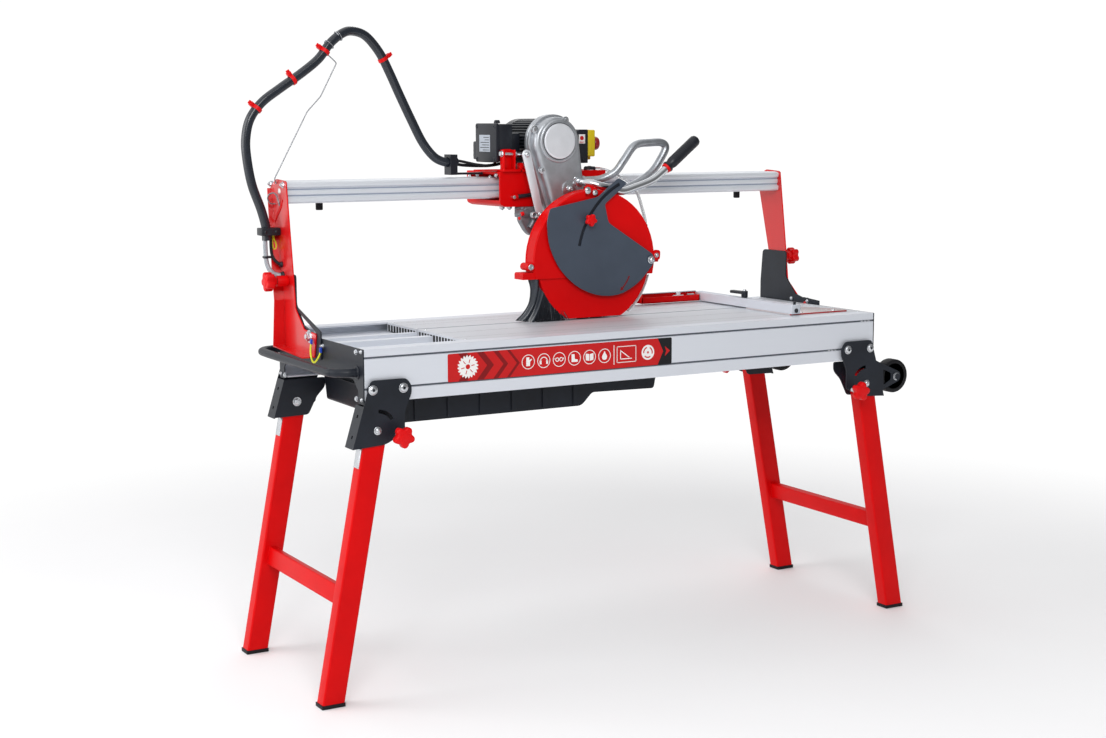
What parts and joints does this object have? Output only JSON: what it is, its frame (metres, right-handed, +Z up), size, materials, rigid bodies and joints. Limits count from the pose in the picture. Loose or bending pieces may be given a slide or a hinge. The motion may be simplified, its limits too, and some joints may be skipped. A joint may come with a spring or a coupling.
{
  "type": "tile cutter",
  "caption": "Wet bridge saw for tiles: an aluminium table on folding legs under a tilting rail, with a motor head that slides, plunges and drives a guarded disc blade.",
  "frame": {"origin": "on the floor under the middle of the table", "axes": "+X along the table and the rail to the wheel end, +Y from the operator's side to the rail side, +Z up"},
  "size_m": [1.903, 0.7, 1.7294],
  "materials": {
    "aluminium_profile": "satin anodised extrusion",
    "black_sheet": "satin powder coat",
    "red_paint": "glossy powder coat",
    "red_plastic": "satin moulded",
    "black_plastic": "fine-grained moulded",
    "motor_black": "matt painted casting",
    "black_rubber": "matt",
    "cast_aluminium": "polished casting",
    "chrome_tube": "polished",
    "slate_paint": "satin powder coat",
    "steel": "brushed",
    "yellow_plastic": "satin moulded",
    "stop_red": "glossy"
  },
  "bodies": {
    "root": {"front_profile": "aluminium_profile", "back_profile": "aluminium_profile", "left_end_plate": "black_sheet", "right_end_plate": "black_sheet", "table_bed": "aluminium_profile", "front_panel": "aluminium_profile", "back_panel": "aluminium_profile", "water_tray": "black_plastic", "water_pump": "black_plastic", "lift_handle": "black_sheet", "leg_bracket_front_left": "black_sheet", "leg_bracket_back_left": "black_sheet", "leg_bracket_front_right": "black_sheet", "leg_bracket_back_right": "black_sheet", "mitre_plate_left": "black_sheet", "mitre_plate_right": "black_sheet"},
    "left_legs": {"left_leg_frame": "red_paint", "foot_cap_front_left": "black_rubber", "foot_cap_back_left": "black_rubber"},
    "right_legs": {"right_leg_frame": "red_paint", "foot_cap_front_right": "black_rubber", "foot_cap_back_right": "black_rubber"},
    "front_wheel_body": {"front_wheel": "black_rubber"},
    "back_wheel_body": {"back_wheel": "black_rubber"},
    "leg_knob_fl": {"leg_knob_front_left": "red_plastic"},
    "leg_knob_bl": {"leg_knob_back_left": "red_plastic"},
    "leg_knob_fr": {"leg_knob_front_right": "red_plastic"},
    "leg_knob_br": {"leg_knob_back_right": "red_plastic"},
    "bridge": {"left_column": "red_paint", "right_column": "red_paint", "rail": "aluminium_profile", "column_hose_clamp": "black_plastic", "conduit_hose": "black_rubber"},
    "mitre_knob_l": {"mitre_knob_left": "red_plastic"},
    "mitre_knob_r": {"mitre_knob_right": "red_plastic"},
    "carriage": {"carriage_block": "red_paint", "motor_housing": "motor_black", "terminal_box": "black_plastic", "switch_box": "black_plastic", "carriage_hose_clamp": "black_plastic"},
    "roller_l": {"left_roller": "steel"},
    "roller_r": {"right_roller": "steel"},
    "switch_flap": {"switch_cover": "yellow_plastic"},
    "stop": {"stop_button": "stop_red"},
    "rotor": {"motor_rotor": "steel"},
    "head": {"belt_case": "cast_aluminium", "drive_belt": "black_rubber", "blade_guard": "red_paint", "handle_bar": "chrome_tube", "handle_grip": "black_rubber", "loop_handle": "slate_paint", "lower_guard": "red_paint"},
    "cover": {"guard_cover": "slate_paint"},
    "star_knob": {"guard_knob": "red_plastic"},
    "spindle": {"blade": "steel", "blade_spindle": "steel"},
    "fence": {"fence_base": "red_plastic", "fence_bar": "aluminium_profile", "fence_square": "red_plastic"},
    "fence_clamp": {"fence_lever": "black_plastic"}
  },
  "joints": [
    {"name": "left_legs_fold", "type": "hinge", "parent": "root", "child": "left_legs", "pos_m": [-0.788, 0, 0.701], "axis": [0, -1, 0], "range_deg": [0, 97]},
    {"name": "right_legs_fold", "type": "hinge", "parent": "root", "child": "right_legs", "pos_m": [0.788, 0, 0.701], "axis": [0, 1, 0], "range_deg": [0, 97]},
    {"name": "front_wheel_spin", "type": "hinge", "parent": "root", "child": "front_wheel_body", "pos_m": [0.901, -0.2725, 0.713], "axis": [0, 1, 0], "continuous": true},
    {"name": "back_wheel_spin", "type": "hinge", "parent": "root", "child": "back_wheel_body", "pos_m": [0.901, 0.2725, 0.713], "axis": [0, 1, 0], "continuous": true},
    {"name": "leg_knob_fl_turn", "type": "hinge", "parent": "root", "child": "leg_knob_fl", "pos_m": [-0.734, -0.3165, 0.686], "axis": [0, 1, 0], "continuous": true},
    {"name": "leg_knob_bl_turn", "type": "hinge", "parent": "root", "child": "leg_knob_bl", "pos_m": [-0.734, 0.3165, 0.686], "axis": [0, 1, 0], "continuous": true},
    {"name": "leg_knob_fr_turn", "type": "hinge", "parent": "root", "child": "leg_knob_fr", "pos_m": [0.734, -0.3165, 0.686], "axis": [0, 1, 0], "continuous": true},
    {"name": "leg_knob_br_turn", "type": "hinge", "parent": "root", "child": "leg_knob_br", "pos_m": [0.734, 0.3165, 0.686], "axis": [0, 1, 0], "continuous": true},
    {"name": "bridge_tilt", "type": "hinge", "parent": "root", "child": "bridge", "pos_m": [0, 0.0415, 0.907], "axis": [1, 0, 0], "range_deg": [-45, 0]},
    {"name": "mitre_knob_l_turn", "type": "hinge", "parent": "bridge", "child": "mitre_knob_l", "pos_m": [-0.85, 0.1925, 1.043], "axis": [1, 0, 0], "continuous": true},
    {"name": "mitre_knob_r_turn", "type": "hinge", "parent": "bridge", "child": "mitre_knob_r", "pos_m": [0.85, 0.1925, 1.043], "axis": [1, 0, 0], "continuous": true},
    {"name": "carriage_slide", "type": "slide", "parent": "bridge", "child": "carriage", "axis": [1, 0, 0], "range_m": [-0.49, 0.34], "deforming": ["conduit_hose"]},
    {"name": "left_roller_spin", "type": "hinge", "parent": "carriage", "child": "roller_l", "pos_m": [-0.155, 0.1792, 1.28], "axis": [0, 0, 1], "continuous": true},
    {"name": "right_roller_spin", "type": "hinge", "parent": "carriage", "child": "roller_r", "pos_m": [0.11, 0.1792, 1.28], "axis": [0, 0, 1], "continuous": true},
    {"name": "switch_cover_open", "type": "hinge", "parent": "carriage", "child": "switch_flap", "pos_m": [0.1186, 0.2215, 1.4445], "axis": [0, -1, 0], "range_deg": [0, 100], "stiffness_Nm_per_rad": 0.002},
    {"name": "stop_button_press", "type": "slide", "parent": "switch_flap", "child": "stop", "axis": [-1, 0, 0], "range_m": [0, 0.004], "stiffness_N_per_m": 400},
    {"name": "head_plunge", "type": "hinge", "parent": "carriage", "child": "head", "pos_m": [-0.04, 0.1935, 1.409], "axis": [0, -1, 0], "range_deg": [0, 25]},
    {"name": "guard_cover_swing", "type": "hinge", "parent": "head", "child": "cover", "pos_m": [0.217, -0.0015, 1.07], "axis": [0, -1, 0], "range_deg": [-17, 14]},
    {"name": "guard_knob_turn", "type": "hinge", "parent": "head", "child": "star_knob", "pos_m": [0.004, -0.0165, 1.192], "axis": [0, 1, 0], "continuous": true},
    {"name": "blade_spin", "type": "hinge", "parent": "head", "child": "spindle", "pos_m": [0.035, 0.0415, 1.075], "axis": [0, 1, 0], "continuous": true},
    {"name": "rotor_spin", "type": "hinge", "parent": "carriage", "child": "rotor", "pos_m": [-0.04, 0.1935, 1.409], "axis": [0, 1, 0], "continuous": true},
    {"name": "fence_slide", "type": "slide", "parent": "root", "child": "fence", "axis": [1, 0, 0], "range_m": [-0.09, 0.03]},
    {"name": "fence_lever_turn", "type": "hinge", "parent": "fence", "child": "fence_clamp", "pos_m": [0.58, 0.0315, 0.945], "axis": [0, 0, 1], "range_deg": [-70, 70]}
  ],
  "couplings": [
    {"joint": "rotor_spin", "follows": "blade_spin", "ratio": 1.125},
    {"joint": "left_roller_spin", "follows": "carriage_slide", "rad_per_m": 70},
    {"joint": "right_roller_spin", "follows": "carriage_slide", "rad_per_m": 70}
  ]
}
